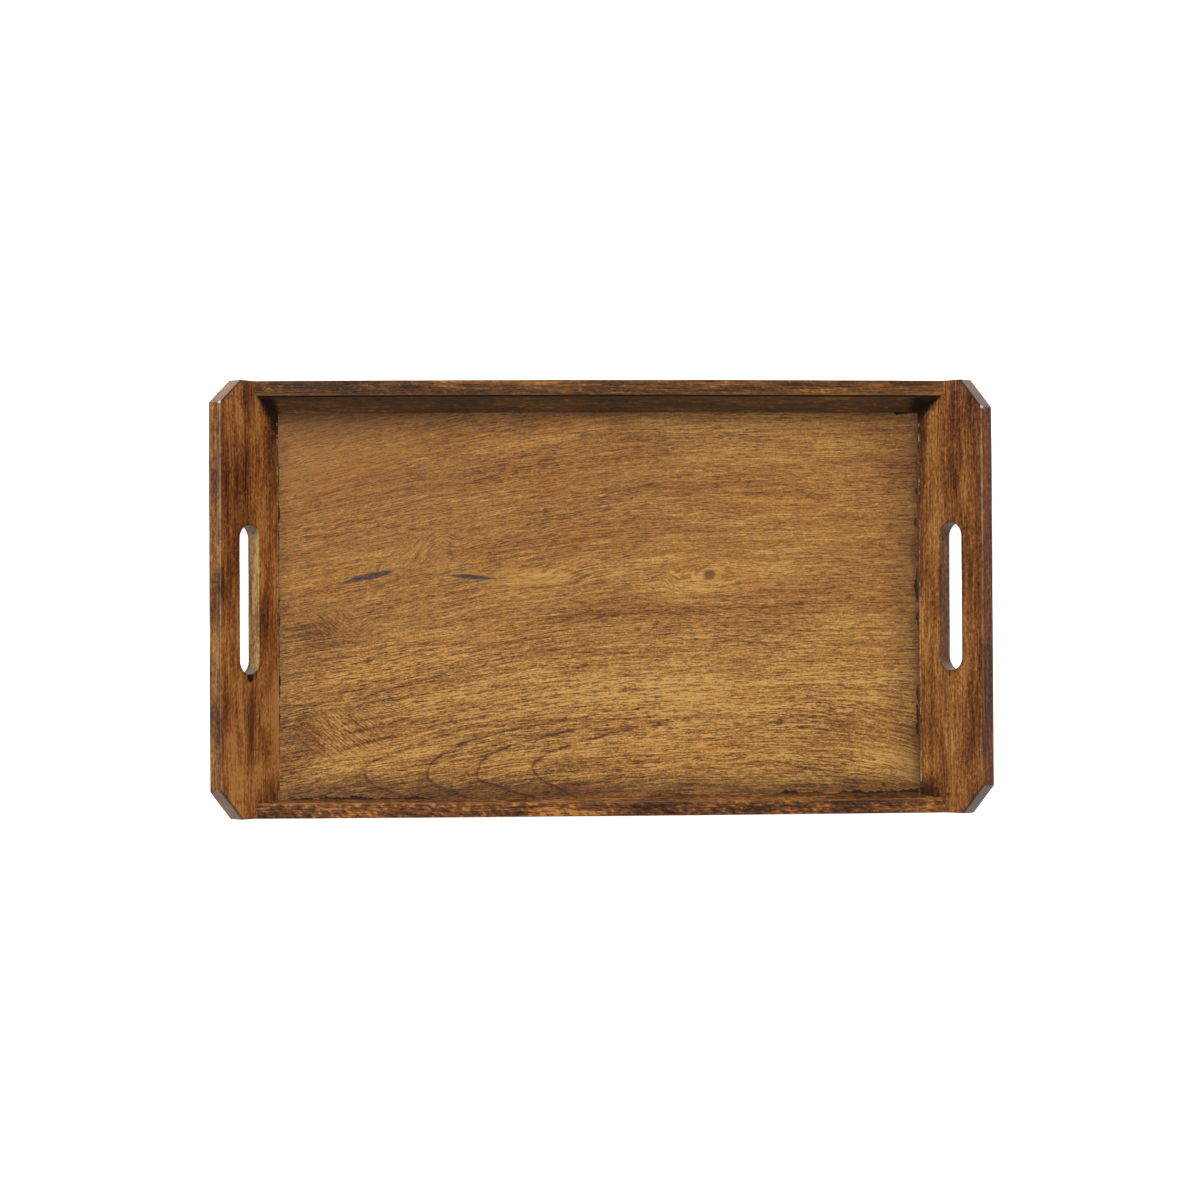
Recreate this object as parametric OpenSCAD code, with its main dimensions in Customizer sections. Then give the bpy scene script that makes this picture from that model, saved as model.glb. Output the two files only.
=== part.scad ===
// Wooden serving tray: a flat panel held in grooves between two low rails and two taller
// end boards that lean outwards, each with a hand slot. Countersunk screws under wooden
// plugs draw the end boards onto the ends of the rails.
// The origin is the middle of the footprint, on the table. X runs along the tray, Y runs
// from the front rail to the back rail, Z is up.

/* [Tray] */
// Length over the tops of the end boards
tray_l = 503; // [420:1:620]
// Width over the rails, which is also the width of the end boards
tray_w = 281; // [220:1:360]
// Height of the panel's underside above the table
panel_gap = 3; // [2.5:0.5:5]

/* [Base panel] */
// Thickness of the panel
panel_t = 8; // [7:0.5:10]
// Depth of the grooves that hold the panel
groove_d = 3; // [2:0.5:3.5]
// Room left behind the panel in the rails' grooves, so that the wood can swell
swell_gap = 0.5; // [0:0.1:1]

/* [End boards] */
// Thickness of the end boards
end_t = 10.5; // [8:0.5:12]
// Angle of the end boards above the table, in degrees
end_angle = 48; // [42:1:60]
// Length of an end board's inner face above the panel
end_face_l = 52.5; // [46:0.5:66]
// Leg of the 45 degree cut at an end board's two upper corners
corner_leg = 17.5; // [5:0.5:22]

/* [Hand slots] */
// Length of a hand slot
slot_l = 96; // [80:1:130]
// Width of a hand slot
slot_w = 18; // [16:0.5:24]
// Middle of the slot, as a share of the inner face above the panel
slot_share = 0.5; // [0.48:0.01:0.54]

/* [Rails] */
// Height of the rails above the panel
rail_rise = 15.5; // [14:0.5:20]
// Width of the flat top of a rail
rail_top_w = 9.4; // [9:0.1:12]
// Slope of the back rail's inner face from upright, in degrees
back_slope = 34.5; // [5:0.5:40]
// Slope of the front rail's inner face from upright, in degrees
front_slope = 7; // [5:0.5:40]

/* [Fasteners] */
// Diameter of the screw shanks
shank_d = 3; // [2.5:0.5:3.5]
// Diameter of the screw heads
head_d = 5.5; // [5:0.1:6]
// Length of a screw from its head to its point
screw_l = 25; // [20:1:30]
// Diameter of the plugs over the screw heads
plug_d = 6.5; // [6.3:0.1:7]
// Depth of a plug along its axis
plug_l = 5; // [4.5:0.1:5.5]

/* [Hidden] */
$fn = 64;

// Sides of the tray, as the signs of X and Y
left = -1;
right = 1;
back = 1;
front = -1;

panel_top_z = panel_gap + panel_t;
rail_top_z = panel_top_z + rail_rise;
tray_h = panel_top_z + end_face_l * sin(end_angle);
// Half the length of the panel's visible top, where the end boards' inner faces meet it
panel_half_l = tray_l / 2 - end_face_l * cos(end_angle) - end_t * sin(end_angle);
// Level thickness of an end board
end_level_t = end_t / sin(end_angle);
// Length of an end board below the panel's top, along its inner face
end_foot_l = panel_top_z / sin(end_angle);
// Heights of the two screws in each rail end
low_screw_z = rail_top_z * 0.27;
high_screw_z = rail_top_z * 0.68;
// Distance from the rails' outer faces to the fasteners' axes, clear of the grooves
screw_inset = 4.8;
// Height of the countersunk head, and length of the tapered point
head_h = 1.5;
point_l = 4;
// Cross recess in the head
recess_w = 0.8;
recess_l = 3.2;
recess_depth = 0.9;
// Overlap that keeps a cut clean where it opens a face
eps = 0.01;

// Distance from the middle of the tray to an end board's inner face at the height z
function inner_x(z) = panel_half_l + (z - panel_top_z) / tan(end_angle);
// Width of a rail at the panel's top
function rail_foot_w(slope) = rail_top_w + rail_rise * tan(slope);
// Distance from the middle of the tray to the panel's edge inside a rail's groove
function panel_edge_y(slope) = tray_w / 2 - rail_foot_w(slope) + groove_d - swell_gap;

// Shape drawn in the plane of X and Z, carried along Y from y0 to y1
module along_y(y0, y1) {
    translate([0, y1, 0])
        rotate([90, 0, 0])
            linear_extrude(y1 - y0)
                children();
}

// Space between the two end boards' inner faces, pushed outwards by grow, from z0 to z1
module between_ends(z0, z1, grow = 0) {
    along_y(-tray_w, tray_w)
        polygon([
            [-inner_x(z0) - grow, z0],
            [inner_x(z0) + grow, z0],
            [inner_x(z1) + grow, z1],
            [-inner_x(z1) - grow, z1]
        ]);
}

// The panel, with its two ends cut to the slope of the end boards
module panel_body() {
    front_y = -panel_edge_y(front_slope);
    back_y = panel_edge_y(back_slope);
    intersection() {
        translate([-tray_l / 2, front_y, panel_gap])
            cube([tray_l, back_y - front_y, panel_t]);
        between_ends(panel_gap, panel_top_z, groove_d);
    }
}

// A rail's section for the back of the tray, the outer face at tray_w / 2: drawn as Y and Z
module rail_section(slope) {
    outer = tray_w / 2;
    inner_top = outer - rail_top_w;
    inner_foot = outer - rail_foot_w(slope);
    groove_end = inner_foot + groove_d;
    polygon([
        [outer, 0],
        [outer, rail_top_z],
        [inner_top, rail_top_z],
        [inner_foot, panel_top_z],
        [groove_end, panel_top_z],
        [groove_end, panel_gap],
        [inner_foot, panel_gap],
        [inner_foot, 0]
    ]);
}

// A rail for the back of the tray, its ends cut to butt on the end boards
module rail_body(slope) {
    difference() {
        intersection() {
            rotate([90, 0, 90])
                linear_extrude(tray_l, center = true)
                    rail_section(slope);
            between_ends(0, rail_top_z);
        }
        for (x_side = [left, right], z = [low_screw_z, high_screw_z])
            screw_solid(x_side, back, z);
    }
}

// Outline of an end board: Y across, and up the inner face from the panel's top
module end_outline() {
    half = tray_w / 2;
    difference() {
        polygon([
            [-half, -end_foot_l],
            [half, -end_foot_l],
            [half, end_face_l - corner_leg],
            [half - corner_leg, end_face_l],
            [-half + corner_leg, end_face_l],
            [-half, end_face_l - corner_leg]
        ]);
        translate([0, end_face_l * slot_share])
            hand_slot();
    }
}

// Hand slot with round ends, about its own middle
module hand_slot() {
    straight = slot_l - slot_w;
    square([straight, slot_w], center = true);
    for (side = [-1, 1])
        translate([side * straight / 2, 0])
            circle(d = slot_w);
}

// The right end board as a plain leaning plate, cut level at the table
module end_plate() {
    intersection() {
        translate([panel_half_l, 0, panel_top_z])
            rotate([0, -end_angle, 0])
                rotate([0, 0, -90])
                    translate([0, 0, -end_t])
                        linear_extrude(end_t)
                            end_outline();
        translate([0, -tray_w, 0])
            cube([tray_l, 2 * tray_w, tray_h + end_t]);
    }
}

// An end board with its groove and its screw holes, on the side x_side
module end_body(x_side) {
    difference() {
        on_side(x_side)
            end_plate();
        panel_body();
        for (y_side = [back, front], z = [low_screw_z, high_screw_z]) {
            screw_solid(x_side, y_side, z);
            plug_hole(x_side, y_side, z);
        }
    }
}

// Mirrors a shape made for the right to the side x_side
module on_side(x_side) {
    if (x_side == left)
        mirror([1, 0, 0])
            children();
    else
        children();
}

// Places a shape drawn along +Z so that it runs inwards from the end board's outer face,
// at the height z, starting at the given depth below that face
module at_screw(x_side, y_side, z, depth) {
    on_side(x_side)
        translate([inner_x(z) + end_level_t - depth, y_side * (tray_w / 2 - screw_inset), z])
            rotate([0, -90, 0])
                children();
}

// Solid form of a screw: countersunk head, shank and point
module screw_solid(x_side, y_side, z) {
    at_screw(x_side, y_side, z, plug_l)
        rotate_extrude()
            polygon([
                [0, 0],
                [head_d / 2, 0],
                [shank_d / 2, head_h],
                [shank_d / 2, screw_l - point_l],
                [0, screw_l]
            ]);
}

// A screw with its cross recess
module screw(x_side, y_side, z) {
    difference() {
        screw_solid(x_side, y_side, z);
        at_screw(x_side, y_side, z, plug_l + eps)
            for (turn = [0, 90])
                rotate([0, 0, turn])
                    translate([-recess_l / 2, -recess_w / 2, 0])
                        cube([recess_l, recess_w, recess_depth + eps]);
    }
}

// Room for a plug, open through the sloping outer face
module plug_hole(x_side, y_side, z) {
    at_screw(x_side, y_side, z, -plug_d)
        cylinder(h = plug_l + plug_d, d = plug_d);
}

// A plug, cut flush with the sloping outer face
module plug(x_side, y_side, z) {
    intersection() {
        plug_hole(x_side, y_side, z);
        on_side(x_side)
            end_plate();
    }
}

module base_panel() {
    color("peru")
        panel_body();
}

module back_rail() {
    color("saddlebrown")
        rail_body(back_slope);
}

module front_rail() {
    color("saddlebrown")
        mirror([0, 1, 0])
            rail_body(front_slope);
}

module left_end_board() {
    color("sienna")
        end_body(left);
}

module right_end_board() {
    color("sienna")
        end_body(right);
}

module steel_screw(x_side, y_side, z) {
    color("darkkhaki")
        screw(x_side, y_side, z);
}

module wood_plug(x_side, y_side, z) {
    color("chocolate")
        plug(x_side, y_side, z);
}

base_panel();
back_rail();
front_rail();
left_end_board();
right_end_board();
steel_screw(left, back, low_screw_z);  // screw_back_left_low
steel_screw(left, back, high_screw_z);  // screw_back_left_high
steel_screw(right, back, low_screw_z);  // screw_back_right_low
steel_screw(right, back, high_screw_z);  // screw_back_right_high
steel_screw(left, front, low_screw_z);  // screw_front_left_low
steel_screw(left, front, high_screw_z);  // screw_front_left_high
steel_screw(right, front, low_screw_z);  // screw_front_right_low
steel_screw(right, front, high_screw_z);  // screw_front_right_high
wood_plug(left, back, low_screw_z);  // plug_back_left_low
wood_plug(left, back, high_screw_z);  // plug_back_left_high
wood_plug(right, back, low_screw_z);  // plug_back_right_low
wood_plug(right, back, high_screw_z);  // plug_back_right_high
wood_plug(left, front, low_screw_z);  // plug_front_left_low
wood_plug(left, front, high_screw_z);  // plug_front_left_high
wood_plug(right, front, low_screw_z);  // plug_front_right_low
wood_plug(right, front, high_screw_z);  // plug_front_right_high
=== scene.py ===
import math

import bmesh
import bpy
from mathutils import Matrix, Vector, noise


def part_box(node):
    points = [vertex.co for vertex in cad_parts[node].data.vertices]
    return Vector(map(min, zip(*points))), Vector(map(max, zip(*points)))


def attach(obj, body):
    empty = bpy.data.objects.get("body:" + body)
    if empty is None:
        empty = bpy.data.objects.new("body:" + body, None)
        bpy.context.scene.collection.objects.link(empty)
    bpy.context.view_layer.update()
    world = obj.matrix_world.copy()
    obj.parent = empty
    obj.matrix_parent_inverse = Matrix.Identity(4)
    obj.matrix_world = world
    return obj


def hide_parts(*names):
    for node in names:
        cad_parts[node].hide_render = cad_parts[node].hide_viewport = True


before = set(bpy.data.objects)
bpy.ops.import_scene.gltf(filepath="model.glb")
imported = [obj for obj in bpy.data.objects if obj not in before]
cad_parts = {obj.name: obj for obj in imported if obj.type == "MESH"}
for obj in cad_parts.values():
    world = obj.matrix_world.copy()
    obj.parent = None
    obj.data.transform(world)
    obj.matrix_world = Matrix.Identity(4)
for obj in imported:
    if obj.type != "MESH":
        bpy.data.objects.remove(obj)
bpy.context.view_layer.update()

MM = 0.001

# The end boards' lean, thickness and cuts, as the CAD has them
END_ANGLE = math.radians(48)
END_T = 10.5 * MM
CORNER_LEG = 17.5 * MM
SLOT_L = 96 * MM
SLOT_W = 18 * MM
SLOT_SHARE = 0.50
RAIL_TOP_W = 9.4 * MM

# The rest comes from the frame
PANEL_LO, PANEL_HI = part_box("base_panel")
END_LO, END_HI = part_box("right_end_board")
BACK_LO, BACK_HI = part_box("back_rail")
FRONT_LO, FRONT_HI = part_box("front_rail")
PANEL_TOP = PANEL_HI.z
HALF_W = END_HI.y
# Half the length of the panel's visible top
HALF_L = END_LO.x + PANEL_TOP / math.tan(END_ANGLE)
# Length of an end board's inner face above the panel, and below it
FACE_L = (END_HI.z - PANEL_TOP) / math.sin(END_ANGLE)
FOOT_L = PANEL_TOP / math.sin(END_ANGLE)
SLOT_V = FACE_L * SLOT_SHARE
# Height of the outer face's foot, measured up the slope from the panel's top
OUTER_FOOT_V = -(PANEL_TOP - END_T * math.cos(END_ANGLE)) / math.sin(END_ANGLE)

ARRIS = 0.3 * MM
# Depth of the waves that hand planing leaves in a face, and of the wear along an arris
PLANING_WAVE = 0.10 * MM
ARRIS_WEAR = 0.16 * MM
# Sanding has taken this off the slots' arrises, so their cut starts that much narrower
SLOT_SANDED = 0.4 * MM

# The corners were sawn by hand: how much longer each cut is than the CAD's, in
# millimetres across the board and up it, by end and by front or back
CORNER_ERRORS = {
    (-1, 1): (-2.4, 1.0),
    (-1, -1): (0.6, 0.8),
    (1, 1): (1.2, -0.8),
    (1, -1): (0.8, -0.9),
}
# The rails bulge outwards by this much in their middle
BACK_BULGE = 0.6 * MM
FRONT_BULGE = 0.3 * MM
# Room round a plug in its hole
PLUG_GAP = 0.12 * MM

# A fine groove runs along each rail, just below its inner top arris
QUIRK_AT = 0.9 * MM
QUIRK_W = 1.3 * MM
QUIRK_D = 0.55 * MM

# The floor is a light table, so that the tray stands on even white
FLOOR_GLOW = 0.80
WORLD_RIM = 0.68
WORLD_ZENITH = 0.42
KEY_PLACE = (-1.5, 3.4, 3.7)
KEY_SIZE = 2.2
KEY_POWER = 290


# ---- node graphs

class Socket:
    """An output socket that can be used in plain arithmetic."""

    def __init__(self, graph, socket):
        self.graph = graph
        self.socket = socket

    def __add__(self, other):
        return self.graph.math("ADD", self, other)

    def __sub__(self, other):
        return self.graph.math("SUBTRACT", self, other)

    def __mul__(self, other):
        return self.graph.math("MULTIPLY", self, other)

    def __truediv__(self, other):
        return self.graph.math("DIVIDE", self, other)

    def __radd__(self, other):
        return self.graph.math("ADD", other, self)

    def __rsub__(self, other):
        return self.graph.math("SUBTRACT", other, self)


class Graph:
    """A material's node tree, built up from formulas."""

    def __init__(self, name):
        self.material = bpy.data.materials.new(name)
        self.material.use_nodes = True
        self.tree = self.material.node_tree
        self.tree.nodes.clear()

    def node(self, kind, **settings):
        made = self.tree.nodes.new(kind)
        for name, value in settings.items():
            setattr(made, name, value)
        return made

    def plug(self, target, value):
        """Joins a value, a colour or a Socket to an input socket."""
        value = colour4(value)
        if isinstance(value, Socket):
            self.tree.links.new(value.socket, target)
        else:
            target.default_value = value

    def math(self, operation, *values):
        made = self.node("ShaderNodeMath", operation=operation)
        for target, value in zip(made.inputs, values):
            self.plug(target, value)
        return Socket(self, made.outputs[0])

    def position(self):
        """The point on the object, as X, Y and Z in metres."""
        place = self.node("ShaderNodeTexCoord")
        split = self.node("ShaderNodeSeparateXYZ")
        self.tree.links.new(place.outputs["Object"], split.inputs[0])
        return [Socket(self, out) for out in split.outputs]

    def noise(self, x, y, z=0.0, detail=2.0, roughness=0.5):
        """Noise from 0 to 1 at a point whose unit is one wave of the noise."""
        point = self.node("ShaderNodeCombineXYZ")
        for target, value in zip(point.inputs, (x, y, z)):
            self.plug(target, value)
        made = self.node("ShaderNodeTexNoise")
        self.tree.links.new(point.outputs[0], made.inputs["Vector"])
        made.inputs["Scale"].default_value = 1.0
        made.inputs["Detail"].default_value = detail
        made.inputs["Roughness"].default_value = roughness
        return Socket(self, made.outputs["Fac"])

    def step(self, value, low, high):
        """0 below low and 1 above high, with a soft change between."""
        made = self.node("ShaderNodeMapRange", interpolation_type="SMOOTHSTEP")
        self.plug(made.inputs["Value"], value)
        self.plug(made.inputs["From Min"], low)
        self.plug(made.inputs["From Max"], high)
        return Socket(self, made.outputs["Result"])

    def near(self, x, y, middle, radii):
        """1 at a middle point, falling away to 0 over the two radii."""
        across = (x - middle[0] * MM) * (1 / (radii[0] * MM))
        up = (y - middle[1] * MM) * (1 / (radii[1] * MM))
        return self.math("EXPONENT", (across * across + up * up) * -1.0)

    def mix(self, share, first, second, blend="MIX"):
        made = self.node("ShaderNodeMix", data_type="RGBA", blend_type=blend)
        self.plug(made.inputs["Factor"], share)
        self.plug(made.inputs[6], first)
        self.plug(made.inputs[7], second)
        return Socket(self, made.outputs[2])

    def ramp(self, value, stops):
        """Colours along a value from 0 to 1."""
        made = self.node("ShaderNodeValToRGB")
        self.plug(made.inputs[0], value)
        elements = made.color_ramp.elements
        while len(elements) < len(stops):
            elements.new(1.0)
        for element, (place, colour) in zip(elements, stops):
            element.position = place
            element.color = colour4(colour)
        return Socket(self, made.outputs[0])

    def finish(self, colour, roughness, height, bump, coat=0.0, metal=0.0, specular=0.18, glow=0.0):
        """The surface: gloss from a roughness, and small relief from a height."""
        shader = self.node("ShaderNodeBsdfPrincipled")
        shader.inputs["Emission Color"].default_value = (1, 1, 1, 1)
        shader.inputs["Emission Strength"].default_value = glow
        self.plug(shader.inputs["Base Color"], colour)
        self.plug(shader.inputs["Roughness"], roughness)
        shader.inputs["Metallic"].default_value = metal
        shader.inputs["Specular IOR Level"].default_value = specular
        shader.inputs["Coat Weight"].default_value = coat
        shader.inputs["Coat Roughness"].default_value = 0.28
        relief = self.node("ShaderNodeBump")
        relief.inputs["Strength"].default_value = 1.0
        relief.inputs["Distance"].default_value = bump
        self.plug(relief.inputs["Height"], height)
        self.tree.links.new(relief.outputs[0], shader.inputs["Normal"])
        if coat:
            self.tree.links.new(relief.outputs[0], shader.inputs["Coat Normal"])
        output = self.node("ShaderNodeOutputMaterial")
        self.tree.links.new(shader.outputs[0], output.inputs[0])
        return self.material


def colour4(value):
    """A colour of three numbers gains its alpha. Anything else is left as it is."""
    if isinstance(value, tuple) and len(value) == 3:
        return (*value, 1.0)
    return value


# ---- wood

# Linear colours of the woods, from the dark late wood to the pale early wood
PANEL_TONES = [
    (0.00, (0.060, 0.0180, 0.0060)),
    (0.25, (0.122, 0.0455, 0.0120)),
    (0.50, (0.224, 0.0985, 0.0220)),
    (0.75, (0.338, 0.1690, 0.0385)),
    (1.00, (0.500, 0.2900, 0.0800)),
]
END_TONES = [
    (0.00, (0.022, 0.0062, 0.0018)),
    (0.25, (0.068, 0.0195, 0.0042)),
    (0.50, (0.150, 0.0490, 0.0076)),
    (0.75, (0.256, 0.0960, 0.0150)),
    (1.00, (0.390, 0.1850, 0.0340)),
]
# For each end: the tints of the board's faces, of its slot's walls and of its top edge. The walls'
# tints are painted light: the left slot's walls lit, the right slot's shaded
END_TINTS = {
    -1: ((1.06, 0.96, 1.35), (0.91, 1.22, 2.45), (0.87, 1.00, 1.60)),
    1: ((0.97, 1.03, 1.62), (0.72, 0.71, 1.30), (1.09, 0.80, 0.05)),
}
RAIL_TONES = [
    (0.00, (0.013, 0.0046, 0.0012)),
    (0.30, (0.036, 0.0125, 0.0030)),
    (0.55, (0.088, 0.0330, 0.0064)),
    (0.80, (0.190, 0.0710, 0.0140)),
    (1.00, (0.400, 0.1780, 0.0340)),
]
# Linear colours of the marks, the dirt and the wear, and of painted shade, highlights and
# reflections
MARKS = {
    "knot core": (0.105, 0.038, 0.012),
    "speck": (0.08, 0.035, 0.012),
    "edge stain and shadow": (0.048, 0.0185, 0.0088),
    "pore dust": (0.058, 0.031, 0.021),
    "rubbed arris": (0.50, 0.35, 0.19),
    "run finish": (0.018, 0.009, 0.006),
    "grey reflection": (0.105, 0.078, 0.055),
    "corner line": (0.022, 0.014, 0.012),
    "smudge": (0.030, 0.018, 0.014),
    "pale chip": (0.56, 0.45, 0.30),
    "near black": (0.008, 0.0038, 0.0022),
    "dark finish": (0.022, 0.0095, 0.0050),
    "thin finish": (0.030, 0.0120, 0.0050),
    "dark chip": (0.012, 0.006, 0.004),
    "red stain": (0.045, 0.014, 0.005),
    "pinhole": (0.006, 0.003, 0.002),
    "joint highlight": (0.40, 0.29, 0.16),
    "rail fleck": (0.42, 0.165, 0.034),
    "rail sheen": (0.150, 0.100, 0.060),
    "rail end": (0.008, 0.0042, 0.0028),
    "groove shade": (0.008, 0.0045, 0.0035),
    "groove lip highlight": (0.16, 0.085, 0.030),
    "rail arris wear and highlight": (0.26, 0.125, 0.035),
    "glue_glint": (0.150, 0.135, 0.125),
    "worn spot": (0.50, 0.270, 0.060),
}
GUM_TONES = [(0.35, (0.018, 0.012, 0.010)), (0.70, (0.095, 0.072, 0.060))]

# Where the panel's figure bends, in millimetres from the middle of the tray:
# (middle, radii, how far the grain is pushed aside)
PANEL_KNOT = ((71, 15), (20, 10), 0.80)
PANEL_EYE = ((-43, 14), (29, 6.5), 6.0)
# The knot's own core, the pale halo at its right, a brown speck, and the rear left where
# the figure is faint: (middle, radii)
KNOT_CORE = ((71, 15), (5.2, 4.4))
PANEL_HALO = ((95, 14), (30, 8))
PANEL_SPECK = ((1.5, 10), (4.0, 2.4))
PANEL_FAINT = ((-178, 98), (60, 32))
# Places where the grain bends across the board: (middle, radii, degrees)
TURNS = [
    ((-98, 38), (9, 7), -36),
    ((-150, -20), (9, 8), 34),
    ((46, 10), (8, 8), -32),
]
# Places where the fibres lie across the streaks: degrees, then (middle, radii) of each
ACROSS = [
    (-38, [((-168, -86), (30, 19)), ((-174, -15), (16, 10))]),
    (50, [((-120, 31), (17, 11))]),
]
# Paler and darker places: (middle, radii, change of tone)
PANEL_SHADES = [
    ((-184, -22), (20, 13), -0.20),
    ((-194, -84), (15, 30), -0.26),
    ((-70, -126), (130, 9), -0.24),
    ((20, -10), (120, 6), -0.07),
    ((-30, -58), (80, 14), 0.07),
    ((30, -94), (52, 14), 0.07),
    ((142, -108), (24, 8), -0.12),
    ((150, -124), (50, 6), -0.24),
    ((188, -106), (16, 9), 0.12),
    ((-92, 62), (60, 14), 0.05),
    ((60, 7), (28, 7), 0.12),
    ((192, 104), (22, 20), -0.16),
]
# Long gum pockets: (middle, half length, half height, slope)
GUM_POCKETS = [((-151, 14.5), 22, 2.7, 0.23), ((-83, 14.2), 18, 1.8, -0.08)]
# The cathedral's arches: the height of their axis, how blunt they are, and their pitch
ARCH_Y = -112
ARCH_BLUNT = 10.5
ARCH_PITCH = 36


def corner_legs(side, mirror):
    """How far a corner's cut runs across its end board, and up it."""
    across, up = CORNER_ERRORS[side, mirror]
    return CORNER_LEG + across * MM, CORNER_LEG + up * MM


def swing(value):
    """Noise from 0 to 1 made into a swing from -1 to 1."""
    return value * 2.0 - 1.0


def streaks(g, along, field, deep, seed=0.0):
    """Bands, streaks and fibres of wood from coarse to fine, each swinging round 0."""
    band = g.noise(along * 5.0 + seed, field * 55.0, deep * 55.0, 3.0, 0.6)
    streak = g.noise(along * 16.0 + seed, field * 220.0, deep * 220.0, 3.0, 0.55)
    hair = g.noise(along * 36.0 + seed, field * 950.0, deep * 950.0, 3.0, 0.62)
    fleck = g.noise(along * 330.0 + seed, field * 950.0, deep * 950.0, 2.0, 0.6)
    return swing(band), swing(streak), swing(hair) * 1.15 + swing(fleck) * 0.5


def pores(g, along, field, deep, seed=0.0, share=0.52):
    """Short dark dashes where the wood's vessels are cut open."""
    dash = g.noise(along * 150.0 + seed, field * 1200.0, deep * 1200.0, 1.0)
    return g.step(dash, share, share + 0.10)


def panel_field(g, x, y):
    """A field whose level lines are the grain of the panel's face."""
    slow = swing(g.noise(x * 5.0, y * 9.0, 1.3, 2.0)) * (5 * MM)
    ripple = swing(g.noise(x * 30.0, y * 70.0, 4.1, 2.0)) * (1.3 * MM)
    middle, radii, push = PANEL_KNOT
    bent = y + slow + ripple - (y - middle[1] * MM) * g.near(x, y, middle, radii) * push
    for middle, radii, degrees in TURNS:
        angle = math.radians(degrees)
        across = (x - middle[0] * MM) * -math.sin(angle)
        across = across + (y - middle[1] * MM) * (math.cos(angle) - 1)
        bent = bent + across * g.near(x, y, middle, radii)
    # Left of the middle the grain climbs to the right, most of all at the back
    level = 50 * MM
    climb = g.math("LOGARITHM", g.math("EXPONENT", x * (-1 / level)) + 1.0, math.e) * level
    steep = g.step(y, -60 * MM, 60 * MM) * 0.04 + 0.17
    # It falls away again at the front right
    fall = g.math("MAXIMUM", x - 110 * MM, 0.0)
    fall = fall * fall * 1.4 * (1.0 - g.step(y, -100 * MM, -40 * MM))
    middle, radii, push = PANEL_EYE
    eye = g.near(x, y, middle, radii) * (push * MM)
    return bent + climb * steep + fall + eye, bent - ARCH_Y * MM


def panel_fibres(g, x, y, z, field):
    """The panel's fibres and pores, with the places where they lie across the grain."""
    _, _, hair = streaks(g, x, field, z)
    dashes = pores(g, x, field, z)
    for degrees, places in ACROSS:
        turn = math.radians(degrees)
        along = x * math.cos(turn) + y * math.sin(turn)
        field = y * math.cos(turn) - x * math.sin(turn)
        _, _, turned_hair = streaks(g, along, field, z, 70.0)
        turned_dashes = pores(g, along, field, z, 70.0)
        share = 0.0
        for middle, radii in places:
            share = g.math("MAXIMUM", share, g.near(x, y, middle, radii))
        share = g.step(share, 0.15, 0.95)
        hair = hair + (turned_hair * 0.8 - hair) * share
        dashes = dashes + (turned_dashes - dashes) * share
    return hair, dashes


def panel_arches(g, x, drop):
    """Thin dark late-wood lines of the cathedral figure at the front left."""
    wander = swing(g.noise(x * 30.0, drop * 30.0, 3.0, 3.0, 0.5)) * 0.30
    phase = (drop * drop * (1 / (ARCH_BLUNT * MM)) - x) * (1 / (ARCH_PITCH * MM)) + wander
    beat = g.math("FRACT", phase + 0.30) - 0.5
    steepness = g.math("SQRT", drop * drop * (2 / (ARCH_BLUNT * MM)) ** 2 + 1.0)
    off = beat * (ARCH_PITCH * MM) / steepness
    line = g.math("EXPONENT", off * off * (-1 / (0.85 * MM) ** 2))
    shade = g.math("EXPONENT", g.math("MAXIMUM", off, 0.0) * (-1 / (3 * MM)))
    shade = shade * g.step(off, -0.3 * MM, 0.3 * MM)
    first = g.step(drop * drop * (1 / (ARCH_BLUNT * MM)) - x, 20 * MM, 34 * MM)
    near_axis = 1.0 - g.step(g.math("ABSOLUTE", drop), 20 * MM, 46 * MM)
    broken = g.step(g.noise(x * 60.0, drop * 160.0, 8.0, 3.0, 0.6), 0.34, 0.60)
    at_left = g.step(x, -175 * MM, -155 * MM) * (1.0 - g.step(x, 0.0, 130 * MM))
    return (line * broken * 0.9 + shade * 0.45) * near_axis * at_left * first


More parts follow.
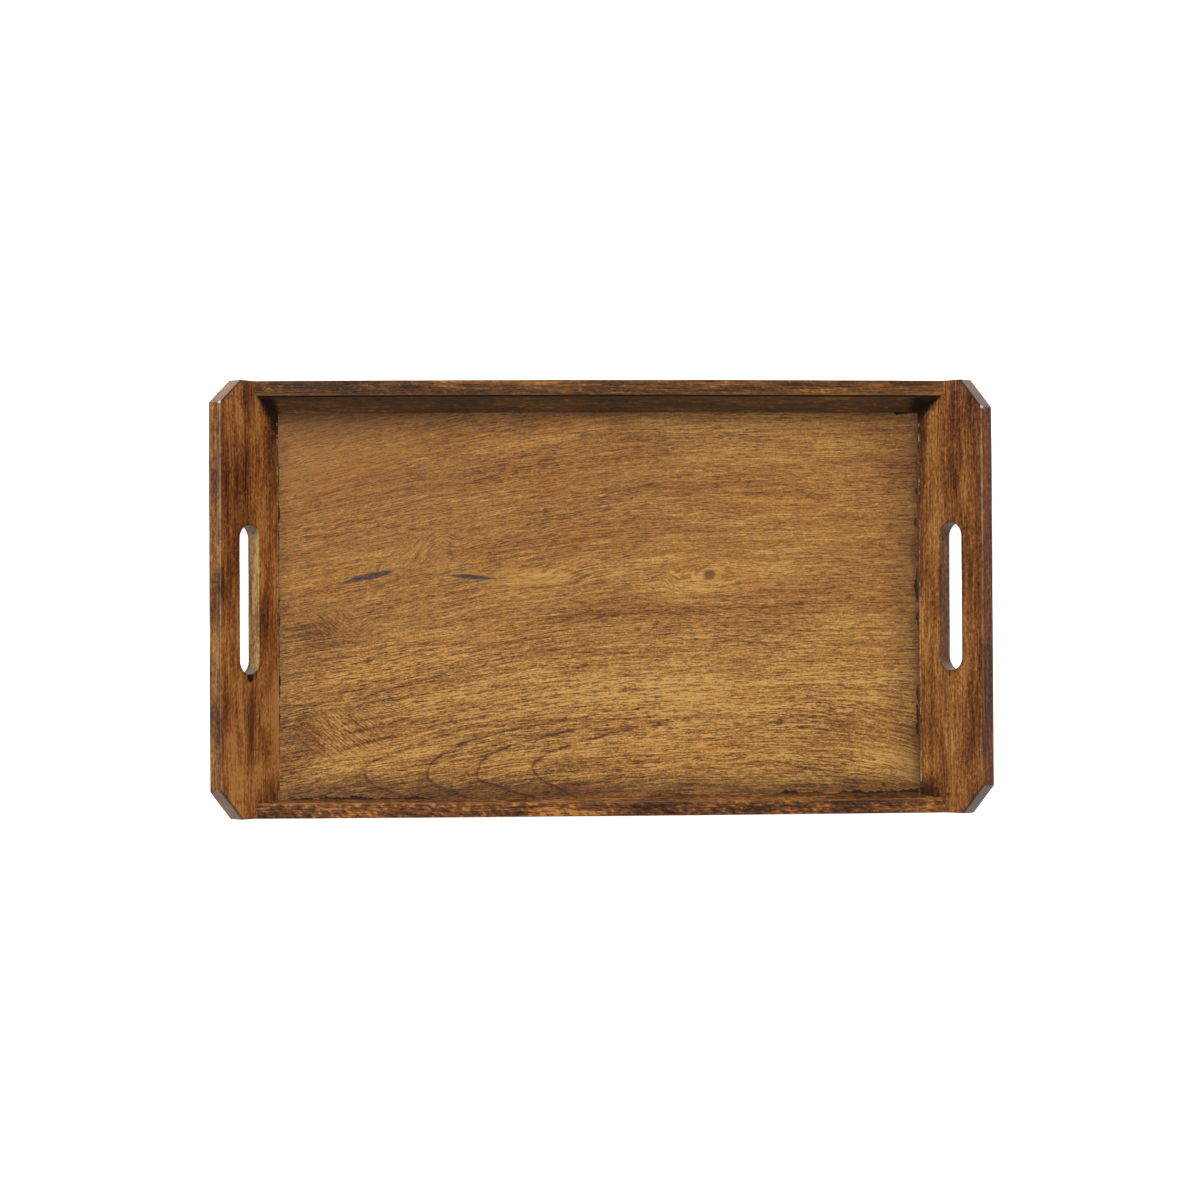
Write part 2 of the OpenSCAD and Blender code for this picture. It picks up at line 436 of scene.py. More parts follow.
def panel_material():
    """Honey-brown board with a cathedral figure, a knot, an eye and gum pockets."""
    g = Graph("panel_wood")
    x, y, z = g.position()
    field, drop = panel_field(g, x, y)
    band, streak, _ = streaks(g, x, field, z)
    hair, dashes = panel_fibres(g, x, y, z, field)
    patch = swing(g.noise(x * 9.0, field * 26.0, 7.7, 3.0, 0.6))
    arches = panel_arches(g, x, drop)
    front = 1.0 - g.step(y, -75 * MM, 25 * MM)
    middle, radii, _ = PANEL_EYE
    eye = g.near(x, y, middle, radii)
    halo = g.near(x, y, *PANEL_HALO)
    crowd = g.step(g.noise(x * 14.0, field * 60.0, 5.5, 3.0, 0.6), 0.30, 0.72)
    grain = swing(g.noise(x * 620.0, y * 900.0, z * 620.0, 2.0, 0.65))
    vigour = (front * 0.40 + 0.76) * (1.0 - eye * 0.6 - halo * 0.3)
    vigour = vigour * (1.0 - g.near(x, y, *PANEL_FAINT) * 0.5)

    tone = (band * 0.30 + streak * 0.09 + hair * 0.60 + grain * 0.50) * vigour + patch * 0.20
    tone = tone + 0.66 + front * 0.10 - dashes * vigour * (crowd * 0.20 + 0.16) - arches * 0.48
    tone = tone + eye * 0.20 + halo * 0.14 - panel_eye_line(g, x, y) * 0.24
    for middle, radii, change in PANEL_SHADES:
        tone = tone + g.near(x, y, middle, radii) * change
    # The rear left is evenly reddish
    dull = g.step(y + x * -0.3, 60 * MM, 140 * MM)
    tone = tone - dull * 0.06
    colour = g.ramp(tone, PANEL_TONES)
    red = g.noise(x * 12.0, field * 34.0, 2.9, 3.0, 0.6)
    red = g.step(red - front * 0.05 + dull * 0.07, 0.36, 0.74) * 0.6
    colour = g.mix(red, colour, (0.98, 0.80, 0.66), "MULTIPLY")
    # The open pores hold a greyer dust, and the fibres lean to olive or to pink
    colour = g.mix(dashes * (crowd * 0.26 + 0.10), colour, MARKS["pore dust"])
    hue = g.noise(x * 200.0, field * 800.0, 12.0, 2.0, 0.6)
    colour = g.mix(g.step(hue, 0.40, 0.60) * 0.7, colour, (1.05, 0.97, 1.02), "MULTIPLY")
    colour = panel_marks(g, x, y, hair, colour)
    roughness = 0.42 + patch * 0.08 + dashes * 0.15
    height = hair * 0.4 + streak * 0.3 - dashes * 0.8
    return g.finish(colour, roughness, height, 0.10 * MM, coat=0.06)


def panel_marks(g, x, y, hair, colour):
    """Gum pockets, the knot's core, a brown speck, and dark finish along the edges, with the rear
    rail's painted shadow along the rear.
    """
    for middle, length, height, slope in GUM_POCKETS:
        gum = gum_pocket(g, x, y, middle, length, height, slope)
        crust = g.ramp(g.noise(x * 300.0, y * 700.0, 1.0, 3.0, 0.7), GUM_TONES)
        colour = g.mix(gum * 0.94, colour, crust)
    core = g.near(x, y, *KNOT_CORE) + hair * 0.12
    colour = g.mix(g.step(core, 0.35, 0.85) * 0.8, colour, MARKS["knot core"])
    speck = g.near(x, y, *PANEL_SPECK)
    colour = g.mix(speck * 0.45, colour, MARKS["speck"])
    return g.mix(panel_edge_stain_and_shadow(g, x, y), colour, MARKS["edge stain and shadow"])


def panel_eye_line(g, x, y):
    """Dark outlines that close to a point at the right of the pale eye."""
    middle, radii, _ = PANEL_EYE
    across = (x - middle[0] * MM) * (1 / (radii[0] * MM))
    up = (y - middle[1] * MM) * (1 / (radii[1] * MM))
    round_it = g.math("SQRT", across * across + up * up)
    wander = swing(g.noise(x * 50.0, y * 120.0, 6.0, 3.0)) * 0.16
    inner = round_it + wander - 1.02
    outer = round_it + wander - 1.45
    lines = g.math("EXPONENT", inner * inner * -90.0)
    lines = lines + g.math("EXPONENT", outer * outer * -90.0) * 0.6
    return lines * g.step(across, -0.7, 0.5)


def gum_pocket(g, x, y, middle, length, height, slope):
    """A spindle-shaped dark pocket that runs with the grain."""
    along = (x - middle[0] * MM) * (1 / (length * MM))
    wander = swing(g.noise(x * 160.0, y * 300.0, 5.0, 2.0)) * 0.45
    up = (y - middle[1] * MM - (x - middle[0] * MM) * slope) * (1 / (height * MM))
    taper = 1.0 - along * along
    inside = taper - g.math("ABSOLUTE", up) + wander
    return g.step(inside, 0.0, 0.5) * g.step(taper, 0.0, 0.3)


def panel_edge_stain_and_shadow(g, x, y):
    """Darker finish that has gathered along the panel's four edges, and along the rear edge the
    painted shadow of the rear rail as well.
    """
    rough = swing(g.noise(x * 60.0, y * 60.0, 9.0, 4.0, 0.6))
    left = x + HALF_L
    right = HALF_L - x
    rear = BACK_LO.y - y
    front = y - FRONT_HI.y
    at_left = (1.0 - g.step(left + rough * (4 * MM), 0.0, 9 * MM)) * 0.30
    at_right = (1.0 - g.step(right + rough * (5 * MM), 0.0, 11 * MM)) * 0.75
    far_right = (1.0 - g.step(right + rough * (8 * MM), 4 * MM, 30 * MM)) * 0.36
    at_right = g.math("MAXIMUM", at_right, far_right)
    # Along the rear edge: stain and the painted shadow of the rear rail, stronger at the left
    rear_stain_and_shadow = 1.0 - g.step(rear + rough * (3 * MM), -1 * MM, 24 * MM)
    rear_stain_and_shadow = rear_stain_and_shadow * (0.62 - g.step(x, -190 * MM, -20 * MM) * 0.32)
    at_front = (1.0 - g.step(front + rough * (8 * MM), 2 * MM, 18 * MM)) * 0.50
    sides = g.math("MAXIMUM", at_left, at_right)
    return g.math("MAXIMUM", sides, g.math("MAXIMUM", rear_stain_and_shadow, at_front))


class EndPlace:
    """A point of an end board, with the masks and noises that its colour is made from."""

    def __init__(self, g, side):
        x, y, z = g.position()
        outward = (x * float(side)) - HALF_L
        rise = z - PANEL_TOP
        self.side = side
        self.left = side < 0
        self.seed = 20.0 if self.left else 31.0
        # Across the board, up its inner face from the panel, and below that face
        self.y = y
        self.slope = outward * math.cos(END_ANGLE) + rise * math.sin(END_ANGLE)
        self.deep = outward * math.sin(END_ANGLE) - rise * math.cos(END_ANGLE)
        self.inner_face = 1.0 - g.step(self.deep, 0.5 * MM, 2 * MM)
        self.top = g.step(self.slope, FACE_L - 0.9 * MM, FACE_L - 0.1 * MM)
        # How far the grain strays, and coarse and fine unevenness
        stray = g.noise(y * 9.0 + self.seed, self.slope * 22.0, self.deep * 22.0, 2.0)
        self.sway = swing(stray) * (4 * MM)
        self.field = self.slope + self.sway
        cloud = g.noise(y * 20.0 + self.seed, self.field * 45.0, self.deep * 45.0, 3.0, 0.6)
        crumb = g.noise(y * 330.0, self.slope * 560.0, self.deep * 560.0 + self.seed, 3.0, 0.7)
        self.cloud = swing(cloud)
        self.crumb = swing(crumb)
        self.ragged = (self.cloud + self.crumb) * (3 * MM)
        # The slot: how far past its straights, how far outside its rim, and its walls
        self.past = g.math("MAXIMUM", g.math("ABSOLUTE", y) - (SLOT_L - SLOT_W) / 2, 0.0)
        off = self.slope - SLOT_V
        self.rim = g.math("SQRT", self.past * self.past + off * off) - SLOT_W / 2
        wall = (1.0 - g.step(self.rim, 0.1 * MM, 0.5 * MM)) * g.step(self.deep, 0.3 * MM, 0.9 * MM)
        self.wall = wall * (1.0 - g.step(self.deep, END_T - 0.9 * MM, END_T - 0.3 * MM))


def end_shade(g, at):
    """How much paler or darker than its grain an end board is, from place to place, much of it
    painted light and shade.
    """
    at_front = 1.0 - g.step(at.y, -90 * MM, 20 * MM)
    at_back = g.step(at.y, 60 * MM, 120 * MM)
    # Painted light: paler towards the panel and darker up the face, lifting the shade that gathers
    # by the joint
    shade = 0.16 - at.slope * (0.28 / FACE_L)
    if at.left:
        shade = shade + at_front * (1.0 - at.top) * 0.16
    else:
        shade = shade - 0.09 - at_front * 0.07 - at_back * 0.07
    # Dark line of the heart wood through the slot, and the finish gathered at its rim
    heart = at.slope - SLOT_V - at.sway * 1.5
    heart = g.math("EXPONENT", heart * heart * (-1 / (4 * MM) ** 2))
    shade = shade - heart * (0.20 if at.left else 0.04)
    shade = shade - (1.0 - g.step(at.rim, 0.0, 3 * MM)) * 0.16
    # Painted light: the left slot's walls are paler, lit from the left, and the right slot's a
    # little darker
    shade = shade + at.wall * (0.36 if at.left else -0.04)
    # Darker along the joint with the panel, and painted shade in the lower corners by the rails
    low = 1.0 - g.step(at.slope + at.cloud * (5 * MM), -2 * MM, 11 * MM)
    low = low * (0.02 if at.left else g.step(at.y, -20 * MM, 40 * MM) * 0.28 + 0.14)
    edge = HALF_W - g.math("ABSOLUTE", at.y)
    corner = (1.0 - g.step(edge, 8 * MM, 30 * MM)) * (1.0 - g.step(at.slope, 4 * MM, 30 * MM))
    corner = corner * (0.30 if at.left else 0.42)
    shade = shade - (low + corner) * at.inner_face
    # The top edge pales towards the back
    return shade - at.top * (0.10 - g.step(at.y, -80 * MM, 110 * MM) * (0.12 if at.left else 0.10))


def end_top_edge(g, at, colour):
    """The top edge: its rubbed inner arris, and a dark line where the finish ran together."""
    rubbed = g.step(g.noise(at.y * 60.0, at.y * 9.0, 2.0 + at.seed, 3.0, 0.7), 0.30, 0.60)
    rubbed = rubbed * (g.step(at.y, -90 * MM, 70 * MM) * 0.34 + 0.12)
    off = at.slope - (FACE_L - 0.1 * MM)
    arris = g.math("EXPONENT", (off * off + at.deep * at.deep) * (-1 / (0.75 * MM) ** 2))
    colour = g.mix(arris * rubbed, colour, MARKS["rubbed arris"])
    off = at.deep - 1.5 * MM
    run = g.math("EXPONENT", off * off * (-1 / (0.6 * MM) ** 2))
    dirt = g.step(g.noise(at.y * 45.0, 1.0, at.seed, 4.0, 0.7), 0.44, 0.56)
    share = run * at.top * dirt * (0.45 if at.left else 0.75)
    return g.mix(share, colour, MARKS["run finish"])


def end_corners(g, at, colour):
    """A painted grey reflection on the clipped corners and the slot's ends, with dark lines and a
    chip.
    """
    clipped = 0.0
    line = 0.0
    for mirror in (1, -1):
        leg_across, leg_up = corner_legs(at.side, mirror)
        past = (at.y * float(mirror) - HALF_W) * (1 / leg_across)
        past = (past + (at.slope - FACE_L) * (1 / leg_up) + 1.0) * (leg_up * 0.7)
        clipped = g.math("MAXIMUM", clipped, g.step(past, -0.8 * MM, -0.2 * MM))
        inside = past + 0.8 * MM
        line = line + g.math("EXPONENT", inside * inside * (-1 / (0.7 * MM) ** 2))
    # Painted reflection: grey on the clipped corners and the slot's end walls
    ends_of_slot = at.wall * g.step(at.past, 2 * MM, 6 * MM)
    grey = g.math("MAXIMUM", clipped * 0.7, ends_of_slot * 0.9)
    colour = g.mix(grey, colour, MARKS["grey reflection"])
    # Dark lines just inside the corners' arrises
    line = line * at.inner_face * (at.crumb * 0.4 + 0.8)
    colour = g.mix(line, colour, MARKS["corner line"])
    if not at.left:
        # A smudge on the top arris at the front
        smudge = g.near(at.y, at.slope, (-98, FACE_L / MM - 0.4), (17, 1.3)) * 0.8
        smudge = smudge * (1.0 - g.step(at.deep, 1.5 * MM, 2.6 * MM))
        colour = g.mix(smudge, colour, MARKS["smudge"])
    # The rear corner is chipped pale
    rear_corner = ((HALF_W - corner_legs(at.side, 1)[0]) / MM, FACE_L / MM)
    chip = g.step(g.near(at.y, at.slope, rear_corner, (1.6, 1.6)) + at.crumb * 0.5, 0.4, 0.8)
    chip = chip * (1.0 - g.step(at.deep, 1.0 * MM, 2.5 * MM))
    return g.mix(chip * 0.8, colour, MARKS["pale chip"])


def end_dark_patches(g, at, colour):
    """Dark patches on the inner face: near black in its rear lower corner by the rail, and dark
    finish in its front lower corner and along the joint's rear.
    """
    lean = 0.8 if at.left else 1.3
    rear = (HALF_W - 10 * MM - at.y) * lean + at.slope + at.ragged
    rear = (1.0 - g.step(rear, 17 * MM, 24 * MM)) * (1.0 - g.step(at.slope, 16 * MM, 20 * MM))
    colour = g.mix(rear * at.inner_face * 0.93, colour, MARKS["near black"])
    joint = 1.0 - g.step(at.slope + at.ragged, 2 * MM, 11 * MM)
    joint = joint * g.step(at.y, 60 * MM, 120 * MM)
    colour = g.mix(joint * at.inner_face * 0.65, colour, MARKS["dark finish"])
    fore = 1.0 - g.step(at.y + HALF_W + at.ragged, 14 * MM, 32 * MM)
    fore = fore * (1.0 - g.step(at.slope + at.ragged, 8 * MM, 22 * MM))
    fore = fore * (0.35 if at.left else 0.80)
    return g.mix(fore * at.inner_face, colour, MARKS["thin finish"])


def end_marks(g, at, colour):
    """A chip in the left board, pinholes in the right one, and a painted highlight along the joint
    on both.
    """
    if at.left:
        # The rim is chipped at the slot's front end, and the wood is dark below the chip
        chip = g.near(at.y, at.slope, (-50.0, SLOT_V / MM), (3.4, 3.0)) * at.inner_face
        chip = g.step(chip + at.crumb * 0.2, 0.3, 0.6)
        colour = g.mix(chip, colour, MARKS["dark chip"])
        stain = g.near(at.y, at.slope, (-76, SLOT_V / MM - 1), (26, 4.5)) * at.inner_face
        stain = g.step(stain + at.cloud * 0.5, 0.2, 0.9)
        colour = g.mix(stain * 0.6, colour, MARKS["red stain"])
    else:
        for pinhole in ((104, 30), (107, 34), (106, 39)):
            hole = g.step(g.near(at.y, at.slope, pinhole, (0.7, 0.7)), 0.3, 0.5) * at.inner_face
            colour = g.mix(hole * 0.9, colour, MARKS["pinhole"])
    # A broken pale line along the joint with the panel: a painted highlight
    joint_glint = g.math("ABSOLUTE", at.slope - (0.9 * MM)) + at.deep
    joint_glint = 1.0 - g.step(joint_glint, 0.25 * MM, 0.6 * MM)
    broken = g.step(g.noise(at.y * 90.0, 3.0, at.seed, 4.0, 0.75), 0.50, 0.58)
    return g.mix(joint_glint * broken * 0.7, colour, MARKS["joint highlight"])


def end_material(side):
    """Orange-brown board whose grain runs across the tray, darker round its slot."""
    g = Graph("left_end_wood" if side < 0 else "right_end_wood")
    at = EndPlace(g, side)
    band, streak, hair = streaks(g, at.y, at.field, at.deep, at.seed)
    dashes = pores(g, at.y, at.field, at.deep, at.seed, 0.58)
    # The right board's figure is calmer
    figure = (band * 0.70 + streak * 0.42 + at.cloud * 0.66) * (1.0 if at.left else 0.62)
    tone = figure + 0.70 + hair * 0.56 + at.crumb * 0.60 - dashes * 0.14
    colour = g.ramp(tone + end_shade(g, at), END_TONES)
    face_tint, wall_light_tint, top_tint = END_TINTS[side]
    colour = g.mix((1.0 - at.wall) * (1.0 - at.top), colour, face_tint, "MULTIPLY")
    colour = g.mix(at.wall, colour, wall_light_tint, "MULTIPLY")
    colour = g.mix(at.top, colour, top_tint, "MULTIPLY")
    for add_detail in (end_top_edge, end_corners, end_dark_patches, end_marks):
        colour = add_detail(g, at, colour)
    roughness = 0.38 + at.cloud * 0.10 + dashes * 0.15
    height = hair * 0.3 + at.crumb * 0.3 + streak * 0.3 - dashes * 0.6
    return g.finish(colour, roughness, height, 0.10 * MM, coat=0.04, specular=0.10)


def rail_groove(g, y, z, colour):
    """Painted shade in the groove under a rail's inner arris, a painted highlight on the groove's
    lower lip, and wear with a painted highlight on the arris itself.
    """
    inner = 1.0 - g.step(g.math("ABSOLUTE", y), HALF_W - 6 * MM, HALF_W - 5 * MM)
    below = BACK_HI.z - z
    groove = g.step(below, QUIRK_AT * 0.5, QUIRK_AT * 0.9)
    groove = groove * (1.0 - g.step(below, QUIRK_AT + QUIRK_W * 0.75, QUIRK_AT + QUIRK_W)) * inner
    lip = g.step(below, QUIRK_AT + QUIRK_W * 0.8, QUIRK_AT + QUIRK_W)
    lip = lip * (1.0 - g.step(below, QUIRK_AT + QUIRK_W, QUIRK_AT + QUIRK_W * 1.7)) * inner
    # Painted shade in the groove, and a painted highlight on its lower lip
    colour = g.mix(groove * 0.85, colour, MARKS["groove shade"])
    colour = g.mix(lip * 0.35, colour, MARKS["groove lip highlight"])
    # Wear and a painted highlight along the inner top arris
    off = HALF_W - RAIL_TOP_W - g.math("ABSOLUTE", y)
    arris = g.math("EXPONENT", (off * off + below * below) * (-1 / (0.8 * MM) ** 2))
    return g.mix(arris * 0.45, colour, MARKS["rail arris wear and highlight"])


def rear_rail_marks(g, x, y, z, fine, mottle, patch, colour):
    """Glue with its gloss painted as a pale grey highlight at the rear rail's right end, a worn spot
    at its left, and dark patches between.
    """
    # Glue, its gloss painted as a pale grey highlight
    glue_glint = g.near(x, y, (209, 131.6), (7, 1.2)) * g.step(fine + mottle, -0.2, 0.2)
    colour = g.mix(glue_glint * 0.6, colour, MARKS["glue_glint"])
    on_top = g.step(z, BACK_HI.z - 0.8 * MM, BACK_HI.z - 0.2 * MM)
    spot = g.near(x, y, (-213, 137), (6, 2.2)) * g.step(fine + mottle, -0.1, 0.3) * on_top
    colour = g.mix(spot * 0.6, colour, MARKS["worn spot"])
    dark = g.near(x, y, (-180, 136), (24, 5)) + g.near(x, y, (-10, 138), (60, 4)) * 0.6
    dark = dark + g.near(x, y, (196, 134), (34, 6)) * 0.7
    dark = dark * on_top * g.step(patch + mottle, -0.4, 0.3)
    return g.mix(dark * 0.6, colour, MARKS["dark finish"])


def rail_material():
    """Dark mottled wood with orange flecks where its arrises are worn."""
    g = Graph("rail_wood")
    x, y, z = g.position()
    sway = swing(g.noise(x * 8.0, y * 30.0, z * 30.0, 2.0)) * (3 * MM)
    field = y + sway
    band, streak, hair = streaks(g, x, field, z, 50.0)
    dashes = pores(g, x, field, z, 50.0, 0.56)
    lean = x + field * 0.8
    mottle = swing(g.noise(lean * 180.0, field * 300.0, z * 300.0, 3.0, 0.68))
    fine = swing(g.noise(lean * 240.0, field * 420.0, z * 420.0, 3.0, 0.7))
    patch = swing(g.noise(x * 16.0, y * 30.0, z * 30.0 + 3.0, 3.0, 0.6))
    front = g.step(y, 10 * MM, -10 * MM)
    tone = 0.62 + band * 0.40 + streak * 0.30 + hair * 0.56 + patch * 0.56
    tone = tone + mottle * (front * 0.50 + 0.22) - dashes * 0.16
    tone = tone + fine * (front * 0.34 + 0.26) - front * g.step(x, 60 * MM, 190 * MM) * 0.22
    # The rear rail's inner face: darkened with painted shade, greyed with a painted sheen, paler
    # towards its foot, and almost black at its two ends
    below = BACK_HI.z - z
    inside = 1.0 - g.step(z, BACK_HI.z - 2.0 * MM, BACK_HI.z - 0.6 * MM)
    inside = inside * g.step(y, 100 * MM, 110 * MM)
    left_end = g.step(below * 0.29 - x + mottle * (2 * MM), 209 * MM, 214 * MM)
    right_end = g.step(x + patch * (4 * MM) + mottle * (2 * MM), 198 * MM, 206 * MM)
    # Painted shade darkens the inner face; it pales towards its foot
    tone = tone + inside * below * 9.0 - inside * 0.10
    colour = g.ramp(tone, RAIL_TONES)
    # The front rail is redder
    colour = g.mix(front, colour, (1.0, 0.90, 0.94), "MULTIPLY")
    flecks = g.step(fine + mottle * 0.8, 0.22, 0.55)
    colour = g.mix(flecks * 0.35, colour, MARKS["rail fleck"])
    # A grey painted sheen on the rear rail's inner face
    colour = g.mix(inside * 0.30, colour, MARKS["rail sheen"])
    colour = g.mix((left_end + right_end) * inside * 0.92, colour, MARKS["rail end"])
    colour = rail_groove(g, y, z, colour)
    colour = rear_rail_marks(g, x, y, z, fine, mottle, patch, colour)
    roughness = 0.40 + patch * 0.12
    height = hair * 0.4 + mottle * 0.5 - dashes * 0.6
    return g.finish(colour, roughness, height, 0.12 * MM, coat=0.12)


def plug_material():
    """Dark plugs that show their fibres end on."""
    g = Graph("plug_wood")
    x, y, z = g.position()
    grain = g.noise(x * 400.0, y * 1400.0, z * 1400.0, 3.0, 0.6)
    dots = g.step(g.noise(x * 300.0, y * 2600.0, z * 2600.0, 1.0), 0.55, 0.7)
    colour = g.ramp(grain, END_TONES)
    colour = g.mix(dots * 0.6, colour, (0.02, 0.008, 0.003))
    return g.finish(colour, 0.5 + dots * 0.2, grain - dots, 0.1 * MM)


def screw_material():
    """Yellowed zinc plating with fine turning marks and dull patches."""
    g = Graph("screw_steel")
    x, y, z = g.position()
    turned = g.noise(x * 4000.0, y * 60.0, z * 60.0, 1.0)
    dull = g.noise(x * 300.0, y * 300.0, z * 300.0, 3.0)
    colour = g.ramp(dull, [(0.3, (0.30, 0.25, 0.15)), (0.7, (0.62, 0.56, 0.42))])
    return g.finish(colour, 0.28 + dull * 0.25, turned, 0.03 * MM, metal=1.0)


def floor_material():
    """Pale matt floor with the faintest tooth."""
    g = Graph("floor")
    x, y, _ = g.position()
    tooth = g.noise(x * 900.0, y * 900.0, 0.0, 2.0)
    roughness = 0.85 + (tooth - 0.5) * 0.1
    return g.finish((0.93, 0.93, 0.93), roughness, tooth, 0.02 * MM, specular=0.1, glow=FLOOR_GLOW)


# ---- boards

def cut_grid(bm, normal, places):
    """Cuts the mesh by planes at places along a normal, so that it can be shaped."""
    for place in places:
        geometry = bm.verts[:] + bm.edges[:] + bm.faces[:]
        bmesh.ops.bisect_plane(
            bm, geom=geometry, plane_co=normal * place, plane_no=normal, dist=1e-6
        )


def spread(low, high, pitch):
    """Even places between two limits, about a pitch apart."""
    count = max(1, round((high - low) / pitch))
    return [low + (high - low) * i / count for i in range(1, count)]


def round_edges(bm, edges):
    """Rounds some edges to the width of a sanded arris."""
    bmesh.ops.bevel(
        bm, geom=edges, offset=ARRIS, segments=3, profile=0.5, affect="EDGES", clamp_overlap=True
    )


def round_arrises(bm):
    """Rounds every edge where two faces meet at more than a slight angle."""
    bmesh.ops.recalc_face_normals(bm, faces=bm.faces)
    sharp = [e for e in bm.edges if e.is_manifold and e.calc_face_angle() > math.radians(25)]
    round_edges(bm, sharp)


def hand_work(bm, seed, worn=ARRIS_WEAR):
    """Slight waves of hand planing in the faces, and wear along the arrises."""
    bm.normal_update()
    moves = []
    for vert in bm.verts:
        place = vert.co + Vector((seed, seed * 0.7, 0))
        wave = noise.noise(place * 22)
        turn = max((vert.normal.angle(f.normal, 0) for f in vert.link_faces), default=0)
        edge = min(1.0, max(0.0, turn / math.radians(20)))
        rub = max(0.0, noise.noise(place * 55) + 0.35) + 0.4 * abs(noise.noise(place * 240))
        moves.append(vert.normal * (wave * PLANING_WAVE * (1 - edge) - rub * worn * edge))
    for vert, move in zip(bm.verts, moves):
        vert.co += move


def plug_holes(end_name):
    """Round bars a little wider than the plugs of one end, to cut their holes with."""
    bars = bmesh.new()
    for node_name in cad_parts:
        if not (node_name.startswith("plug_") and end_name in node_name):
            continue
        low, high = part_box(node_name)
        middle = (low + high) / 2
        # The bar starts at the plug's inner end, and runs on past the board's face
        past = (high.x - low.x) * math.copysign(1, middle.x)
        turn = Matrix.Rotation(math.pi / 2, 4, "Y")
        radius = (high.y - low.y) / 2 + PLUG_GAP
        bmesh.ops.create_cone(
            bars, cap_ends=True, segments=48, radius1=radius, radius2=radius,
            depth=abs(past) * 2, matrix=Matrix.Translation(middle + Vector((past / 2, 0, 0))) @ turn,
        )
    return bars


def cut_away(body, tool):
    """The solid body with the solid tool taken out of it."""
    pieces = []
    for solid in (body, tool):
        mesh = bpy.data.meshes.new("cutting")
        solid.to_mesh(mesh)
        solid.free()
        pieces.append(bpy.data.objects.new("cutting", mesh))
        bpy.context.scene.collection.objects.link(pieces[-1])
    cut = pieces[0].modifiers.new("cut", "BOOLEAN")
    cut.object = pieces[1]
    cut.solver = "EXACT"
    graph = bpy.context.evaluated_depsgraph_get()
    result = bmesh.new()
    result.from_mesh(pieces[0].evaluated_get(graph).to_mesh())
    for piece in pieces:
        bpy.data.objects.remove(piece)
    return result


def board(bm, name, material, slot, *nodes):
    """Turns a finished mesh into a piece that stands for its CAD nodes."""
    # The feet stay on the floor
    for vert in bm.verts:
        vert.co.z = max(vert.co.z, 0.0)
    mesh = bpy.data.meshes.new(name)
    bm.to_mesh(mesh)
    bm.free()
    mesh.polygons.foreach_set("use_smooth", [True] * len(mesh.polygons))
    mesh.set_sharp_from_angle(angle=math.radians(38))
    mesh.materials.append(material)
    piece = bpy.data.objects.new(name, mesh)
    bpy.context.scene.collection.objects.link(piece)
    keep = piece.modifiers.new("flat_faces", "WEIGHTED_NORMAL")
    keep.weight = 90
    keep.keep_sharp = True
    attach(piece, "root")
    if nodes:
        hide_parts(*nodes)
    return piece


def slot_end(steps=18):
    """The round end of a hand slot on the +u side, from its top to its bottom."""
    middle = (SLOT_L - SLOT_W) / 2
    radius = (SLOT_W - SLOT_SANDED) / 2
    turns = [math.pi / 2 - math.pi * i / steps for i in range(steps + 1)]
    return [(middle + radius * math.cos(t), SLOT_V + radius * math.sin(t)) for t in turns]


def end_outline_half(leg_across, leg_up):
    """Half of an end board's outline with half of its slot, for u from 0 upwards."""
    rim = [
        (0, -FOOT_L),
        (HALF_W, -FOOT_L),
        (HALF_W, FACE_L - leg_up),
        (HALF_W - leg_across, FACE_L),
        (0, FACE_L),
    ]
    reach = (SLOT_W - SLOT_SANDED) / 2
    return rim + [(0, SLOT_V + reach)] + slot_end() + [(0, SLOT_V - reach)]


def end_board(side, name, material):
    """An end board: a leaning plate with its slot, clipped corners and level foot."""
    bm = bmesh.new()
    for mirror in (1, -1):
        outline = [(u * mirror, v) for u, v in end_outline_half(*corner_legs(side, mirror))]
        bm.faces.new([bm.verts.new((u, v, 0)) for u, v in outline])
    bmesh.ops.remove_doubles(bm, verts=bm.verts, dist=1e-6)
    inner = bm.faces[:]
    made = bmesh.ops.extrude_face_region(bm, geom=inner)["geom"]
    outer = [v for v in made if isinstance(v, bmesh.types.BMVert)]
    for vert in outer:
        vert.co.z = END_T
        if vert.co.y < OUTER_FOOT_V:
            vert.co.y = OUTER_FOOT_V
    round_arrises(bm)
    cut_grid(bm, Vector((1, 0, 0)), spread(-HALF_W, HALF_W, 4.1 * MM))
    cut_grid(bm, Vector((0, 1, 0)), spread(-FOOT_L, FACE_L, 4.3 * MM))
    cut_grid(bm, Vector((0, 0, 1)), [END_T / 2])
    hand_work(bm, seed=3.0 + side)
    for vert in bm.verts:
        u, v, w = vert.co
        out = HALF_L + v * math.cos(END_ANGLE) + w * math.sin(END_ANGLE)
        up = PANEL_TOP + v * math.sin(END_ANGLE) - w * math.cos(END_ANGLE)
        vert.co = (side * out, u, up)
    bmesh.ops.recalc_face_normals(bm, faces=bm.faces)
    bm = cut_away(bm, plug_holes("left" if side < 0 else "right"))
    node = "left_end_board" if side < 0 else "right_end_board"
    return board(bm, name, material, "end_board_wood", node)


def inner_x(z):
    """Distance from the middle of the tray to the end boards' inner faces."""
    return HALF_L + (z - PANEL_TOP) / math.tan(END_ANGLE)


